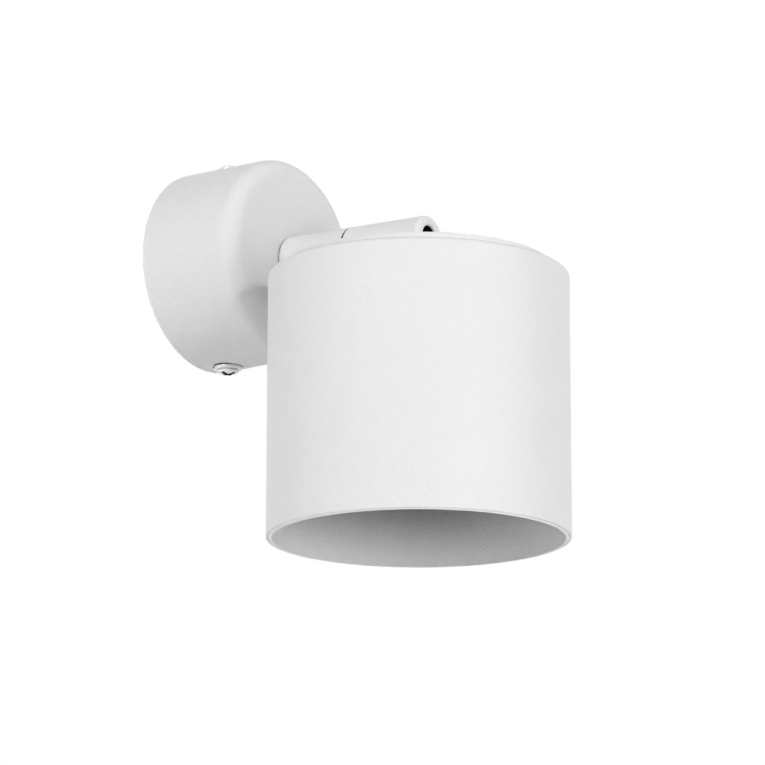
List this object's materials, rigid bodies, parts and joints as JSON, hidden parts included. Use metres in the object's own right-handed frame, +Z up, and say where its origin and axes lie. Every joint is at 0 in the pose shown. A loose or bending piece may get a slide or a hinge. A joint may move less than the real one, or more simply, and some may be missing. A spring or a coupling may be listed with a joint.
{
  "type": "wall spotlight",
  "caption": "Wall spotlight: a white drum shade hangs from a short tapered arm that swivels on a deep round canopy with side screws.",
  "frame": {"origin": "centre of the canopy's open back, on the wall plane", "axes": "+X along the wall, +Y into the wall, +Z up; the arm runs along -Y and the shade hangs along -Z"},
  "size_m": [0.1, 0.1408, 0.1409],
  "materials": {
    "white_coat": "fine matt white powder coat on aluminium",
    "white_screw": "bright white-painted steel",
    "zinc_steel": "bright zinc plate",
    "brass": "plain machined brass",
    "black_rubber": "matt",
    "dark_plastic": "matt",
    "white_plastic": "moulded satin",
    "opal": "opal, satin",
    "glass_sleeve": "braided glass sleeve",
    "lead_insulation": "smooth lead insulation"
  },
  "bodies": {
    "wall_side": {"wall_plate": "zinc_steel", "cable_grommet": "black_rubber", "canopy_shell": "white_coat", "canopy_screws": "white_screw", "screw_collars": "white_screw", "terminal_block": "white_plastic", "terminal_tubes": "brass", "terminal_screws": "zinc_steel", "block_screw": "zinc_steel", "earth_tag": "zinc_steel", "earth_screw": "brass", "base_leads": "lead_insulation", "base_sleeve": "glass_sleeve", "arm_gasket": "black_rubber", "fixed_arm": "white_coat", "arm_lock_washer": "zinc_steel", "arm_nut": "zinc_steel", "pivot_screw": "zinc_steel", "pivot_spring": "zinc_steel"},
    "head": {"arm_knuckle": "white_coat", "friction_disc": "dark_plastic", "stop_pin": "zinc_steel", "head_sleeve": "glass_sleeve", "stem_tube": "zinc_steel", "top_cap": "white_coat", "shade_shell": "white_coat", "lamp_strap": "zinc_steel", "stem_washer": "zinc_steel", "stem_nut": "zinc_steel", "lampholder": "white_plastic", "holder_screws": "zinc_steel", "holder_contacts": "brass", "head_leads": "lead_insulation"},
    "lamp": {"lamp_housing": "white_plastic", "lamp_diffuser": "opal", "lamp_pins": "zinc_steel"}
  },
  "joints": [
    {"name": "arm_swivel", "type": "hinge", "parent": "wall_side", "child": "head", "pos_m": [0, -0.064, -0.0023], "axis": [0, 1, 0], "range_deg": [-160, 160]},
    {"name": "lamp_twist", "type": "hinge", "parent": "head", "child": "lamp", "pos_m": [0, -0.0908, -0.0502], "axis": [0, 0, -1], "range_deg": [0, 20]}
  ]
}
